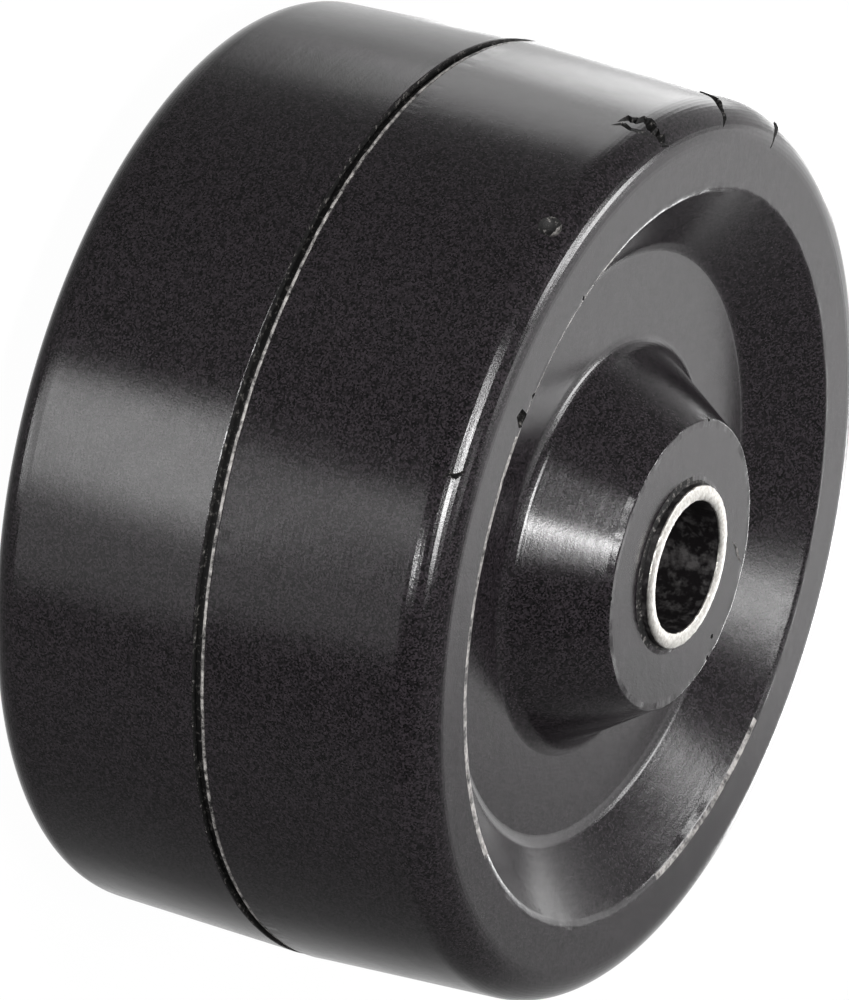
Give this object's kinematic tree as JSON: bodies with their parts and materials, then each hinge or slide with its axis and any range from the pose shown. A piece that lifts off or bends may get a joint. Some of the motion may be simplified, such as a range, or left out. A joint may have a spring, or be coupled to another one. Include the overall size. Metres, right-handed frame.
{
  "type": "boat trailer roller",
  "caption": "Solid black rubber roller for a boat trailer, with a recessed web at each end, a conical hub and a steel sleeve through the bore.",
  "frame": {"origin": "centre of the bore, in the mould's parting plane halfway between the two ends", "axes": "+Z along the bore, towards the end that the picture shows; the roller stands on the other end of its sleeve"},
  "size_m": [0.12, 0.12, 0.075],
  "materials": {
    "rubber": "semi-matt black moulded rubber",
    "sleeve_steel": "bright zinc-plated steel, sawn ends"
  },
  "bodies": {
    "root": {"roller_body": "rubber", "bore_sleeve": "sleeve_steel"}
  },
  "joints": []
}
